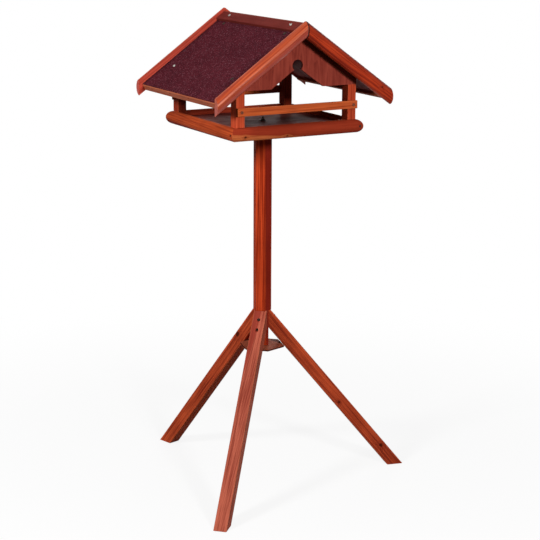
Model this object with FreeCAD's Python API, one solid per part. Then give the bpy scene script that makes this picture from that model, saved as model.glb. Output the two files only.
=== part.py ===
import FreeCAD, Part
import math
import os

Vector = FreeCAD.Vector

# A covered bird table on a three-legged stand, in millimetres and degrees.
# The ground is Z = 0, the pole's axis is the Z axis, and the open front of the house faces -Y.

# Stand
pole_flats = 40.0          # across the flats of the six-sided pole
pole_ease = 1.5            # rounding of the pole's long edges
front_leg_azimuth = -133.8  # where the first leg points, seen from above
leg_side = 32.0            # the legs are square bars
leg_ease = 2.0
leg_lean = 39.2            # from plumb
leg_notch_depth = 8.0      # how far each leg is let into the pole
leg_notch_height = 90.0
leg_shoulder_inset = 2.0   # the leg's outer face meets the shoulder this far inside the flat
shoulder_height = 436.5    # of the notches' upper ends above the ground
plate_flats = 98.0         # of the six-sided plate under the pole, inside the three legs
plate_thickness = 4.0

# Tray
tray_inside = 318.0        # between the flat backs of the rails, both ways
moulding_height = 32.0     # half-round moulding of the rails and barge boards
moulding_thickness = 16.0
rail_underside = 887.5
floor_recess = 14.0        # from the rails' top down to the floor
floor_thickness = 9.0
cleat_width = 12.0

# House frame
post_side = 22.0
post_ease = 1.5
post_height = 96.9         # of the outer faces, from the floor to the rafters
perch_height = 19.0
perch_thickness = 7.0
perch_ease = 1.5
perch_rise = 40.5          # from the floor to the perch rails' undersides
gable_thickness = 6.0
gable_notch_rise = 48.6    # from the gable's lower edge to where the notch's slanted sides would meet
gable_hole_rise = 2.7      # from there to the round hole's middle
gable_hole_radius = 13.6

# Roof, its drops measured square to the slope from the line of the barge boards' tops
roof_pitch = 35.33
eaves_overhang = 72.0      # from the posts' outer faces to the barge boards' plumb-cut ends
end_overhang = 40.0        # from the posts' outer faces to the barge boards' flat backs
back_barge_rise = 4.2      # of the back barge boards above the front ones
back_barge_reach = 3.3     # of their plumb-cut ends beyond those of the front ones
barge_apex_rounding = 6.0
barge_end_rounding = 5.0
strip_drop = 4.0           # from the barge tops down to the ridge strips' tops
strip_thickness = 7.0
strip_width = 32.0
strip_ease = 1.2
felt_thickness = 2.0
panel_thickness = 10.0
rafter_thickness = 12.0
batten_setback = 5.6       # of the eaves batten's outer upper edge inside the barge boards' ends
batten_height = 17.0
felt_setback = 1.8         # of the felt's lower edge inside the batten's outer face
batten_thickness = 10.0
batten_ease = 1.5

# Fasteners
screw_shank = 4.0
pan_head = 7.5
pan_head_height = 2.4
pan_head_rounding = 1.7
sunk_head = 8.0
sunk_head_rim = 0.4
small_shank = 3.0
small_head = 6.0
cross_width = 1.0
cross_span = 4.0
cross_depth = 1.2
pin_shank = 1.6
pin_head = 3.0
pin_head_height = 0.8
leg_screw_drops = (19.5, 41.0)  # below the shoulder
leg_screw_seats = (1.2, 7.0)   # depth of each head under the leg's outer face
leg_screw_tip_radius = 3.0     # the three legs' screws stop this far from the pole's axis
plate_screw_radius = 7.0
plate_screw_length = 25.0
corner_screw_length = 40.0
corner_screw_sink = 1.5
corner_screw_inset = 9.0       # from the rail's end
perch_screw_length = 28.0
post_screw_length = 32.0
roof_screw_length = 38.0
upper_screw_length = 21.0
upper_screw_place = 40.0       # down the slope from the ridge
ridge_screw_length = 17.0
cleat_pin_length = 14.0
cleat_pin_count = 3
gable_pin_length = 30.0
gable_pin_places = (60.0, 150.0)
batten_pin_length = 25.0
batten_pin_count = 4
barge_pin_length = 38.0
barge_pin_places = (45.0, 145.0, 245.0)
bolt_diameter = 5.0
bolt_embedment = 45.0
bolt_above_floor = 11.0
bolt_chamfer = 0.6
washer_diameter = 15.0
washer_thickness = 1.2
nut_flats = 8.0
nut_height = 4.0

# Worked-out sizes
sine = math.sin(math.radians(roof_pitch))
cosine = math.cos(math.radians(roof_pitch))
tangent = math.tan(math.radians(roof_pitch))
lean_tangent = math.tan(math.radians(leg_lean))
pole_apothem = pole_flats / 2
notch_radius = pole_apothem - leg_notch_depth
pole_bottom = shoulder_height - leg_notch_height
leg_foot_radius = pole_apothem - leg_shoulder_inset + shoulder_height * lean_tangent
half_inside = tray_inside / 2
half_gap = half_inside + end_overhang
barge_half_span = half_inside + eaves_overhang
rail_top = rail_underside + moulding_height
floor_top = rail_top - floor_recess
floor_underside = floor_top - floor_thickness
post_middle = half_inside - post_side / 2
perch_middle = floor_top + perch_rise + perch_height / 2
felt_drop = strip_drop + strip_thickness
panel_drop = felt_drop + felt_thickness
rafter_drop = panel_drop + panel_thickness
frame_drop = rafter_drop + rafter_thickness
rafter_inner = half_inside - post_side
rafter_outer = half_inside + gable_thickness
rafter_middle = (rafter_inner + rafter_outer) / 2
post_top = floor_top + post_height
ridge_height = post_top + half_inside * tangent + frame_drop / cosine
roof_screw_place = (post_middle + frame_drop * sine) / cosine
batten_outer = (barge_half_span - batten_setback + panel_drop * sine) / cosine
panel_slope_length = batten_outer - batten_thickness
leg_azimuths = {
    "front": front_leg_azimuth,
    "right": front_leg_azimuth + 120,
    "left": front_leg_azimuth + 240,
}
sides = {"left": -1, "right": 1}
ends = {"front": -1, "back": 1}
reach = ridge_height       # longer than any piece that a cutting prism has to cover
tolerance = 0.01           # for finding an edge by its place


def prism(points, along):
    """A solid with a closed straight-edged outline, pushed along a vector."""
    wire = Part.makePolygon(list(points) + [points[0]])
    return Part.Face(wire).extrude(along)


def eased_section(width, height, ease):
    """A rectangle centred on the origin in the XY plane with rounded corners."""
    w = width / 2
    h = height / 2
    cut = ease * (1 - math.sqrt(0.5))
    corners = [(1, 1), (-1, 1), (-1, -1), (1, -1)]
    edges = []
    for i, (sx, sy) in enumerate(corners):
        near_x = Vector(sx * w, sy * (h - ease), 0)
        near_y = Vector(sx * (w - ease), sy * h, 0)
        middle = Vector(sx * (w - cut), sy * (h - cut), 0)
        start, stop = (near_x, near_y) if i % 2 == 0 else (near_y, near_x)
        edges.append(Part.Arc(start, middle, stop).toShape())
        next_x, next_y = corners[(i + 1) % 4]
        if i % 2 == 0:
            following = Vector(next_x * (w - ease), next_y * h, 0)
        else:
            following = Vector(next_x * w, next_y * (h - ease), 0)
        edges.append(Part.makeLine(stop, following))
    return Part.Face(Part.Wire(edges))


def eased_bar(width, height, length, ease):
    """An upright bar from the origin to Z = length with rounded long edges."""
    return eased_section(width, height, ease).extrude(Vector(0, 0, length))


def hexagon(flats, height):
    """An upright six-sided bar from the origin, with one flat facing +X."""
    corner = flats / math.sqrt(3)
    points = []
    for i in range(6):
        angle = math.radians(30 + 60 * i)
        points.append(Vector(corner * math.cos(angle), corner * math.sin(angle), 0))
    return prism(points, Vector(0, 0, height))


def turned(shape, angle):
    """A copy of the shape, turned about the pole's axis."""
    copy = shape.copy()
    copy.rotate(Vector(0, 0, 0), Vector(0, 0, 1), angle)
    return copy


def aimed(form, place, direction, turn=0):
    """Copies of a fastener and its hole, moved to a place, pointed in a direction and turned."""
    copies = []
    for shape in form:
        copy = shape.copy()
        copy.Placement = FreeCAD.Placement(place, FreeCAD.Rotation(Vector(0, 0, -1), direction))
        copies.append(turned(copy, turn))
    return copies


def roof_point(side, down, y, drop):
    """A point given down the slope from the ridge, along the ridge, and square to the slope."""
    x = down * cosine - drop * sine
    z = ridge_height - down * sine - drop * cosine
    return Vector(side * x, y, z)


def roof_height(x, drop):
    """The height of a line parallel to the slope, over a distance from the middle."""
    return ridge_height - x * tangent - drop / cosine


def slope_down(side):
    """The direction down the slope."""
    return Vector(side * cosine, 0, -sine)


def slope_in(side):
    """The direction square to the slope, into the roof."""
    return Vector(-side * sine, 0, -cosine)


def roof_layer(side, drop, thickness, length, half_width):
    """A board on the slope, mitred on the middle plane and cut square at its lower end."""
    points = [
        Vector(0, -half_width, roof_height(0, drop)),
        roof_point(side, length, -half_width, drop),
        roof_point(side, length, -half_width, drop + thickness),
        Vector(0, -half_width, roof_height(0, drop + thickness)),
    ]
    return prism(points, Vector(0, 2 * half_width, 0))


# Each fastener is made along -Z as a pair: its body, and the plain form that its hole is cut with.
# The underside of the head is at the origin, or on a sunk screw the head's flat top.

def cross_recess(top):
    """Two crossed slots that are cut down into a head."""
    slots = []
    for a, b in ((cross_span, cross_width), (cross_width, cross_span)):
        slots.append(Part.makeBox(a, b, 2 * cross_depth, Vector(-a / 2, -b / 2, top - cross_depth)))
    return slots[0].fuse(slots[1])


def spun(points):
    """A solid of revolution about Z from an outline of (radius, height) points."""
    corners = [Vector(r, 0, z) for r, z in points]
    wire = Part.makePolygon(corners + [corners[0]])
    return Part.Face(wire).revolve(Vector(0, 0, 0), Vector(0, 0, 1), 360)


def is_ring(edge, diameter, height):
    """Whether an edge is a level circle of this diameter at this height."""
    size = edge.BoundBox
    return abs(size.XLength - diameter) < tolerance and abs(size.ZMin - height) + size.ZLength < tolerance


def pan_screw(shank, length):
    """A domed screw with a cross recess, standing on the surface."""
    r = shank / 2
    body = spun([
        (0, pan_head_height), (pan_head / 2, pan_head_height), (pan_head / 2, 0), (r, 0),
        (r, -length + shank), (0, -length),
    ])
    rim = [e for e in body.Edges if is_ring(e, pan_head, pan_head_height)]
    body = body.makeFillet(pan_head_rounding, rim)
    return body.cut(cross_recess(pan_head_height)), body


def sunk_screw(shank, head, length):
    """A countersunk screw with a cross recess, its head's flat top at the origin."""
    r = shank / 2
    body = spun([
        (0, 0), (head / 2, 0), (head / 2, -sunk_head_rim), (r, -sunk_head_rim - head / 2 + r),
        (r, -length + shank), (0, -length),
    ])
    return body.cut(cross_recess(0)), body


def pin(length):
    """A thin wire nail with a small flat head, the head's underside at the origin."""
    r = pin_shank / 2
    body = spun([
        (0, pin_head_height), (pin_head / 2, pin_head_height), (pin_head / 2, 0), (r, 0),
        (r, -length + pin_shank), (0, -length),
    ])
    return body, body


def pole():
    """The six-sided pole with a notch for each leg at its lower end."""
    height = floor_underside - pole_bottom
    body = hexagon(pole_flats, height)
    upright = [e for e in body.Edges if e.BoundBox.ZLength > height / 2]
    body = body.makeFillet(pole_ease, upright)
    body.translate(Vector(0, 0, pole_bottom))
    body = turned(body, front_leg_azimuth)
    for azimuth in leg_azimuths.values():
        notch = Part.makeBox(
            pole_flats, 2 * pole_flats, leg_notch_height, Vector(notch_radius, -pole_flats, pole_bottom)
        )
        body = body.cut(turned(notch, azimuth))
    return body


def leg(azimuth):
    """A square bar that leans out from the pole, cut flat on the ground and plumb on the notch."""
    bar = eased_bar(leg_side, leg_side, 2 * reach, leg_ease)
    bar.translate(Vector(-leg_side / 2, 0, -reach / 2))
    bar.rotate(Vector(0, 0, 0), Vector(0, 1, 0), -leg_lean)
    bar.translate(Vector(leg_foot_radius, 0, 0))
    keep = Part.makeBox(2 * reach, 2 * leg_side, shoulder_height, Vector(notch_radius, -leg_side, 0))
    return turned(bar.common(keep), azimuth)


def leg_screw_set():
    """Two level screws through the head of each leg, with the bores that their heads sit in."""
    screws = []
    bores = []
    for azimuth in leg_azimuths.values():
        for drop, seat in zip(leg_screw_drops, leg_screw_seats):
            height = shoulder_height - drop
            face_radius = leg_foot_radius - height * lean_tangent
            head_radius = face_radius - seat
            form = sunk_screw(screw_shank, sunk_head, head_radius - leg_screw_tip_radius)
            place = Vector(head_radius, 0, height)
            screws.append(aimed(form, place, Vector(-1, 0, 0), azimuth))
            bore = Part.makeCylinder(sunk_head / 2, reach, place, Vector(1, 0, 0))
            bores.append(turned(bore, azimuth))
    return screws, bores


def stand_plate():
    """A thin six-sided plate under the pole, its sides in line with the pole's."""
    body = turned(hexagon(plate_flats, plate_thickness), front_leg_azimuth)
    body.translate(Vector(0, 0, pole_bottom - plate_thickness))
    return body


def plate_screw_set():
    """Three screws up through the plate into the end of the pole, between the legs."""
    form = sunk_screw(small_shank, small_head, plate_screw_length)
    place = Vector(plate_screw_radius, 0, pole_bottom - plate_thickness)
    return [aimed(form, place, Vector(0, 0, 1), azimuth + 60) for azimuth in leg_azimuths.values()]


def tray_rail():
    """The front rail: half-round moulding, flat side in, with mitred ends."""
    middle = rail_underside + moulding_height / 2
    nose = half_inside + moulding_thickness
    top = Vector(-reach, -half_inside, rail_top)
    low = Vector(-reach, -half_inside, rail_underside)
    flat = Part.makeLine(top, low)
    bow = Part.Arc(low, Vector(-reach, -nose, middle), top).toShape()
    moulding = Part.Face(Part.Wire([flat, bow])).extrude(Vector(2 * reach, 0, 0))
    mitres = prism(
        [
            Vector(-half_inside, -half_inside, 0),
            Vector(half_inside, -half_inside, 0),
            Vector(half_inside + moulding_height, -half_inside - moulding_height, 0),
            Vector(-half_inside - moulding_height, -half_inside - moulding_height, 0),
        ],
        Vector(0, 0, rail_top + reach),
    )
    return moulding.common(mitres)


def corner_screw_set():
    """One screw at the right end of each rail, into the end of the next rail, and its bore."""
    height = rail_underside + moulding_height / 2
    nose = half_inside + moulding_thickness
    form = sunk_screw(small_shank, small_head, corner_screw_length)
    place = Vector(nose - corner_screw_inset, -nose + corner_screw_sink, height)
    bore = Part.makeCylinder(small_head / 2, reach, place, Vector(0, -1, 0))
    screws = [aimed(form, place, Vector(0, 1, 0), 90 * i) for i in range(4)]
    return screws, [turned(bore, 90 * i) for i in range(4)]


def tray_floor():
    """The square floor board, with a hole for the bolt in its middle."""
    corner = Vector(-half_inside, -half_inside, floor_underside)
    return Part.makeBox(tray_inside, tray_inside, floor_thickness, corner)


def cleat(side):
    """A strip under the floor along the left or right rail."""
    inner = side * (half_inside - cleat_width)
    low_x = min(inner, side * half_inside)
    height = floor_underside - rail_underside
    return Part.makeBox(cleat_width, tray_inside, height, Vector(low_x, -half_inside, rail_underside))


def spaced(count, half_length):
    """Evenly spaced places along a line, with half a space at each end."""
    step = 2 * half_length / count
    return [-half_length + step * (i + 0.5) for i in range(count)]


def cleat_pin_set():
    """Pins up through each cleat into the floor, and sideways into the rail."""
    form = pin(cleat_pin_length)
    cleat_middle = (floor_underside + rail_underside) / 2
    inner = half_inside - cleat_width
    pins = []
    for side in sides.values():
        for y in spaced(cleat_pin_count, half_inside):
            up = Vector(side * (half_inside - cleat_width / 2), y, rail_underside)
            pins.append(aimed(form, up, Vector(0, 0, 1)))
            across = Vector(side * inner, y + cleat_width, cleat_middle)
            pins.append(aimed(form, across, Vector(side, 0, 0)))
    return pins


def bolt():
    """The stud that stands in the pole's end and comes up through the floor."""
    length = bolt_embedment + floor_thickness + bolt_above_floor
    body = Part.makeCylinder(bolt_diameter / 2, length, Vector(0, 0, floor_underside - bolt_embedment))
    top = [e for e in body.Edges if is_ring(e, bolt_diameter, floor_top + bolt_above_floor)]
    return body.makeChamfer(bolt_chamfer, top)


def washer():
    """The flat ring under the nut."""
    outer = Part.makeCylinder(washer_diameter / 2, washer_thickness, Vector(0, 0, floor_top))
    return outer.cut(bolt())


def nut():
    """A six-sided nut with its upper corners turned off."""
    body = hexagon(nut_flats, nut_height)
    cone = Part.makeCone(nut_flats / 2 + nut_height, nut_flats / 2, nut_height)
    body = body.common(cone)
    body.translate(Vector(0, 0, floor_top + washer_thickness))
    return body.cut(bolt())


def post(side, end):
    """A corner post as deep as its rafter, stepped over the tray's rail and under the gable."""
    body = eased_bar(post_side, rafter_outer - rafter_inner, reach, post_ease)
    body.translate(Vector(side * post_middle, end * rafter_middle, floor_top))
    inner = half_inside - post_side
    under_rafter = prism(
        [
            Vector(side * inner, -reach / 2, floor_top),
            Vector(side * half_inside, -reach / 2, floor_top),
            Vector(side * half_inside, -reach / 2, post_top),
            Vector(side * inner, -reach / 2, roof_height(inner, frame_drop)),
        ],
        Vector(0, reach, 0),
    )
    low_x = min(side * inner, side * half_inside)
    low_y = min(end * half_inside, end * rafter_outer)
    foot_step = Part.makeBox(post_side, gable_thickness, rail_top - floor_top)
    foot_step.translate(Vector(low_x, low_y, floor_top))
    top_step = Part.makeBox(post_side, gable_thickness, post_height)
    top_step.translate(Vector(low_x, low_y, post_top))
    return body.common(under_rafter).cut(foot_step).cut(top_step)


def post_screw_set():
    """A screw up through the floor into the foot of each post."""
    form = sunk_screw(screw_shank, sunk_head, post_screw_length)
    screws = []
    for side in sides.values():
        for end in ends.values():
            place = Vector(side * post_middle, end * post_middle, floor_underside)
            screws.append(aimed(form, place, Vector(0, 0, 1)))
    return screws


def perch_rail(end):
    """A flat rail across the front or the back, on the posts' outer faces."""
    body = eased_bar(perch_thickness, perch_height, tray_inside, perch_ease)
    body.rotate(Vector(0, 0, 0), Vector(0, 1, 0), 90)
    body.rotate(Vector(0, 0, 0), Vector(1, 0, 0), 90)
    body.translate(Vector(-half_inside, end * (rafter_outer + perch_thickness / 2), perch_middle))
    return body


def perch_screw_set():
    """A domed screw at each end of each perch rail, into the post behind it."""
    form = pan_screw(screw_shank, perch_screw_length)
    screws = []
    for side in sides.values():
        for end in ends.values():
            y = end * (rafter_outer + perch_thickness)
            place = Vector(side * post_middle, y, perch_middle)
            screws.append(aimed(form, place, Vector(0, -end, 0)))
    return screws


def gable(end):
    """A thin board under the rafters with a wide notch that ends in a round hole."""
    inner_face = half_inside if end > 0 else -half_inside - gable_thickness
    notch_half = gable_notch_rise / tangent
    notch_apex = post_top + gable_notch_rise
    outline = [
        (-half_inside, post_top),
        (-notch_half, post_top),
        (0, notch_apex),
        (notch_half, post_top),
        (half_inside, post_top),
        (0, roof_height(0, frame_drop)),
    ]
    body = prism([Vector(x, inner_face, z) for x, z in outline], Vector(0, gable_thickness, 0))
    hole_middle = Vector(0, inner_face, notch_apex + gable_hole_rise)
    hole = Part.makeCylinder(gable_hole_radius, gable_thickness, hole_middle, Vector(0, 1, 0))
    return body.cut(hole)


def gable_pin_set():
    """Pins down through the rafters into the gables' upper edges."""
    form = pin(gable_pin_length)
    pins = []
    for side in sides.values():
        for end in ends.values():
            for down in gable_pin_places:
                y = end * (half_inside + gable_thickness / 2)
                place = roof_point(side, down, y, rafter_drop + pin_head_height)
                pins.append(aimed(form, place, slope_in(side)))
    return pins


def rafter(side, end):
    """A flat rafter over the posts and the gable, mitred at the ridge and cut plumb at the post."""
    low_y = min(end * rafter_inner, end * rafter_outer)
    points = [
        Vector(0, low_y, roof_height(0, rafter_drop)),
        Vector(side * half_inside, low_y, roof_height(half_inside, rafter_drop)),
        Vector(side * half_inside, low_y, post_top),
        Vector(0, low_y, roof_height(0, frame_drop)),
    ]
    return prism(points, Vector(0, rafter_outer - rafter_inner, 0))


def roof_screw_set():
    """Long screws through felt, panel and rafter into the posts, and short ones near the ridge."""
    long_screw = pan_screw(screw_shank, roof_screw_length)
    short_screw = pan_screw(screw_shank, upper_screw_length)
    screws = []
    for side in sides.values():
        for end in ends.values():
            y = end * rafter_middle
            low = roof_point(side, roof_screw_place, y, felt_drop)
            high = roof_point(side, upper_screw_place, y, felt_drop)
            screws.append(aimed(long_screw, low, slope_in(side)))
            screws.append(aimed(short_screw, high, slope_in(side)))
    return screws


def ridge_strip(side):
    """A flat strip over the felt along the ridge, with its lower edge eased."""
    body = roof_layer(side, strip_drop, strip_thickness, strip_width, half_gap)
    lower = [
        e for e in body.Edges
        if e.CenterOfMass.distanceToPoint(roof_point(side, strip_width, 0, strip_drop)) < tolerance
    ]
    return body.makeFillet(strip_ease, lower)


def ridge_screw_set():
    """A domed screw near each end of each ridge strip."""
    form = pan_screw(screw_shank, ridge_screw_length)
    screws = []
    for side in sides.values():
        for end in ends.values():
            place = roof_point(side, strip_width / 2, end * rafter_middle, strip_drop)
            screws.append(aimed(form, place, slope_in(side)))
    return screws


def eaves_batten(side):
    """A strip on edge along the panel's lower end, its top level with the panel's."""
    body = eased_bar(batten_thickness, batten_height, 2 * half_gap, batten_ease)
    body.rotate(Vector(0, 0, 0), Vector(1, 0, 0), 90)
    middle = roof_point(
        side, panel_slope_length + batten_thickness / 2, half_gap, panel_drop + batten_height / 2
    )
    body.rotate(Vector(0, 0, 0), Vector(0, 1, 0), side * roof_pitch)
    body.translate(middle)
    return body


def batten_pin_set():
    """Pins through each eaves batten into the lower edge of the panel."""
    form = pin(batten_pin_length)
    pins = []
    for side in sides.values():
        for y in spaced(batten_pin_count, half_gap):
            place = roof_point(side, batten_outer, y, panel_drop + panel_thickness / 2)
            pins.append(aimed(form, place, slope_down(side) * -1))
    return pins


def barge_outline(side, half_span):
    """The side view of one barge board: rounded at the apex and at the plumb end's top corner."""
    apex_centre = ridge_height - barge_apex_rounding / cosine
    corner_x = half_span - barge_end_rounding
    corner_z = roof_height(corner_x, barge_end_rounding)

    def at(x, z):
        return Vector(side * x, -reach, z)

    def on_apex(angle):
        """A point of the apex rounding, at an angle from plumb."""
        angle = math.radians(angle)
        return at(barge_apex_rounding * math.sin(angle), apex_centre + barge_apex_rounding * math.cos(angle))

    def on_corner(angle):
        """A point of the lower corner's rounding, at an angle from plumb."""
        angle = math.radians(angle)
        x = corner_x + barge_end_rounding * math.sin(angle)
        return at(x, corner_z + barge_end_rounding * math.cos(angle))

    apex = on_apex(0)
    apex_end = on_apex(roof_pitch)
    corner_start = on_corner(roof_pitch)
    corner_end = on_corner(90)
    tip = at(half_span, roof_height(half_span, moulding_height))
    crotch = at(0, roof_height(0, moulding_height))
    edges = [
        Part.Arc(apex, on_apex(roof_pitch / 2), apex_end).toShape(),
        Part.makeLine(apex_end, corner_start),
        Part.Arc(corner_start, on_corner((roof_pitch + 90) / 2), corner_end).toShape(),
        Part.makeLine(corner_end, tip),
        Part.makeLine(tip, crotch),
        Part.makeLine(crotch, apex),
    ]
    return Part.Face(Part.Wire(edges)).extrude(Vector(0, 2 * reach, 0))


def barge_board(side, end):
    """Half-round moulding down the slope, its flat back against the roof's end."""
    back = end * half_gap
    nose = end * (half_gap + moulding_thickness)
    top = roof_point(side, -reach, back, 0)
    low = roof_point(side, -reach, back, moulding_height)
    bow = roof_point(side, -reach, nose, moulding_height / 2)
    edges = [Part.makeLine(top, low), Part.Arc(low, bow, top).toShape()]
    moulding = Part.Face(Part.Wire(edges)).extrude(slope_down(side) * (3 * reach))
    rise, extra = (back_barge_rise, back_barge_reach) if end > 0 else (0, 0)
    board = moulding.common(barge_outline(side, barge_half_span + extra))
    board.translate(Vector(0, 0, rise))
    return board


def barge_pin_set():
    """Pins through the barge boards' rounded fronts into the ends of the panels."""
    form = pin(barge_pin_length)
    pins = []
    for side in sides.values():
        for end in ends.values():
            rise = back_barge_rise if end > 0 else 0
            for down in barge_pin_places:
                y = end * (half_gap + moulding_thickness - pin_head_height)
                place = roof_point(side, down, y, panel_drop + panel_thickness / 2) + Vector(0, 0, rise)
                pins.append(aimed(form, place, Vector(0, -end, 0)))
    return pins


def build():
    """All pieces by name, with the fasteners' holes cut in the wood."""
    leg_screws, leg_bores = leg_screw_set()
    corner_screws, corner_bores = corner_screw_set()
    fasteners = {
        "leg_screws": leg_screws,
        "plate_screws": plate_screw_set(),
        "tray_bolt": [(bolt(), bolt())],
        "tray_corner_screws": corner_screws,
        "cleat_pins": cleat_pin_set(),
        "post_screws": post_screw_set(),
        "perch_screws": perch_screw_set(),
        "gable_pins": gable_pin_set(),
        "roof_screws": roof_screw_set(),
        "ridge_screws": ridge_screw_set(),
        "batten_pins": batten_pin_set(),
        "barge_pins": barge_pin_set(),
    }
    wood = {"pole": pole(), "stand_plate": stand_plate(), "tray_floor": tray_floor()}
    for name, azimuth in leg_azimuths.items():
        wood["leg_" + name] = leg(azimuth)
    for i, name in enumerate(("front", "right", "back", "left")):
        wood["tray_rail_" + name] = turned(tray_rail(), 90 * i)
    for end_name, end in ends.items():
        wood["perch_rail_" + end_name] = perch_rail(end)
        wood["gable_" + end_name] = gable(end)
    for side_name, side in sides.items():
        wood["floor_cleat_" + side_name] = cleat(side)
        wood["roof_panel_" + side_name] = roof_layer(
            side, panel_drop, panel_thickness, panel_slope_length, half_gap
        )
        wood["felt_" + side_name] = roof_layer(
            side, felt_drop, felt_thickness, batten_outer - felt_setback, half_gap
        )
        wood["ridge_strip_" + side_name] = ridge_strip(side)
        wood["eaves_batten_" + side_name] = eaves_batten(side)
        for end_name, end in ends.items():
            place = end_name + "_" + side_name
            wood["post_" + place] = post(side, end)
            wood["rafter_" + place] = rafter(side, end)
            wood["barge_" + place] = barge_board(side, end)
    cutters = leg_bores + corner_bores
    for group in fasteners.values():
        cutters.extend(hole for body, hole in group)
    pieces = {}
    for name, body in wood.items():
        near = [c for c in cutters if c.BoundBox.intersect(body.BoundBox)]
        for cutter in near:
            body = body.cut(cutter)
        pieces[name] = body
    for name, group in fasteners.items():
        pieces[name] = Part.makeCompound([body for body, hole in group])
    pieces["tray_washer"] = washer()
    pieces["tray_nut"] = nut()
    return pieces


os.makedirs("parts", exist_ok=True)
for node, shape in sorted(build().items()):
    shape.exportStep("parts/" + node + ".step")
    size = shape.BoundBox
    print(
        f"{node}: {len(shape.Solids)} solid(s), {shape.Volume / 1000:.2f} cm3,",
        f"{size.XLength:.1f} x {size.YLength:.1f} x {size.ZLength:.1f} mm, valid {shape.isValid()}",
    )
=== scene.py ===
# %% [markdown]
# # A covered bird table, dressed in stained timber and roofing felt
#
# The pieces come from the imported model, each a node of its own. This lesson gives every piece its
# finish: red-brown stain over softwood and plywood, felt with mineral grit, zinc-plated steel.
# Pieces that need finer shapes than the model holds, such as cross-head screws, the threaded bolt
# and the grit, are made here with Geometry Nodes. All sizes are in metres, Z is up, and the open
# front of the house faces -Y.

# %% Load the model
import math

import bmesh
import bpy
from mathutils import Matrix, Vector


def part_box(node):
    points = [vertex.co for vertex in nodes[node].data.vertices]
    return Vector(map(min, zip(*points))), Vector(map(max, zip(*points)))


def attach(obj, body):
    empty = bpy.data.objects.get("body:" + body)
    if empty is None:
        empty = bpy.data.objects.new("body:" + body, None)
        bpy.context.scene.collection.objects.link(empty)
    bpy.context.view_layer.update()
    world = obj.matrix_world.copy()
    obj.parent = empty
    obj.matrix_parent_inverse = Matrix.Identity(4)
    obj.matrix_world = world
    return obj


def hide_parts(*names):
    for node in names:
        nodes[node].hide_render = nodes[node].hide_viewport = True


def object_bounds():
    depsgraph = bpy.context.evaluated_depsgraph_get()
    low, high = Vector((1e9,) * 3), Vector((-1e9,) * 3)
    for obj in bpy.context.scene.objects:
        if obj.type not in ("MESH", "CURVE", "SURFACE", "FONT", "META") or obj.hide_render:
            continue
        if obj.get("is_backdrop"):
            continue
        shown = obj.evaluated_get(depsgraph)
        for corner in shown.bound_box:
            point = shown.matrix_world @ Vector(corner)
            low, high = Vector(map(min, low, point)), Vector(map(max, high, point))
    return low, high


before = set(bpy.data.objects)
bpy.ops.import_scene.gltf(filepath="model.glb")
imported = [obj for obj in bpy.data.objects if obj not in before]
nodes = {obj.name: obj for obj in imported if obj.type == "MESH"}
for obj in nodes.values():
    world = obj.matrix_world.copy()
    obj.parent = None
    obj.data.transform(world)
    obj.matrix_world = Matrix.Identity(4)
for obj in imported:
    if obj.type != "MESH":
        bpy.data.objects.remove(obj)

cad_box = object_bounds()


def new_object(name, data):
    """A new object in the scene."""
    thing = bpy.data.objects.new(name, data)
    bpy.context.scene.collection.objects.link(thing)
    return thing


print(len(nodes), "nodes; the model's box:", [tuple(round(v, 3) for v in c) for c in cad_box])

# %% [markdown]
# ## Camera
#
# The photograph was taken with a long lens from a little above the roof, in front of the left
# corner. Four numbers say where a camera looks: its place, then yaw, pitch and roll. Blender's
# camera looks along its own -Z, so its three axes are worked out and set as a matrix. That is
# exact, where a constraint that tracks a target would lose the slight roll.

# %% Camera
camera_place = Vector((-1.7665, -3.2172, 1.4400))
camera_yaw = math.radians(-29.065)
camera_pitch = math.radians(-13.843)
camera_roll = math.radians(0.258)
camera_lens = 102.36   # millimetres
sensor_width = 36      # millimetres

look = Vector((
    -math.sin(camera_yaw) * math.cos(camera_pitch),
    math.cos(camera_yaw) * math.cos(camera_pitch),
    math.sin(camera_pitch),
))
level = Vector((math.cos(camera_yaw), math.sin(camera_yaw), 0))
upward = level.cross(look)
right = level * math.cos(camera_roll) + upward * math.sin(camera_roll)
up = upward * math.cos(camera_roll) - level * math.sin(camera_roll)

camera = new_object("camera", bpy.data.cameras.new("camera"))
camera_turn = Matrix((right, up, -look)).transposed().to_4x4()
camera.matrix_world = Matrix.Translation(camera_place) @ camera_turn
camera.data.lens = camera_lens
camera.data.sensor_width = sensor_width
bpy.context.scene.camera = camera
pole_middle = Vector((0, 0, 0.6))
print("camera", round((camera_place - pole_middle).length, 2), "m from the pole")

# %% [markdown]
# ## Small helpers for node trees
#
# Shader trees and geometry trees are both built by adding nodes and joining sockets. Only one
# tree is built at a time, so `work_on` says which, and the other helpers add to that one. `add`
# makes a node and fills its inputs: a socket is linked, and a plain value is set. `give` does the
# same and gives back the node's first output. `calc` and `vcalc` add a maths step, and `plus` and
# `times` take any number of values, so that a formula reads nearly as it would on paper.

# %% Node helpers
at_work = {}


def work_on(tree):
    """From here on, new nodes go into this tree."""
    at_work["tree"] = tree
    return tree


def fill(sockets, values):
    """Fills sockets by name or number: another node's socket is linked, a plain value is set."""
    for name, value in values.items():
        if isinstance(value, bpy.types.NodeSocket):
            at_work["tree"].links.new(value, sockets[name])
        else:
            sockets[name].default_value = value


def add(kind, inputs=(), **settings):
    """Adds a node, with its settings and a dict of its inputs."""
    node = at_work["tree"].nodes.new(kind)
    for name, value in settings.items():
        setattr(node, name, value)
    fill(node.inputs, dict(inputs))
    return node


def give(kind, inputs=(), **settings):
    """Adds a node, and gives its first output."""
    return add(kind, inputs, **settings).outputs[0]


def calc(operation, *values, clamp=False):
    """One step of arithmetic on numbers."""
    return give("ShaderNodeMath", dict(enumerate(values)), operation=operation, use_clamp=clamp)


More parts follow.
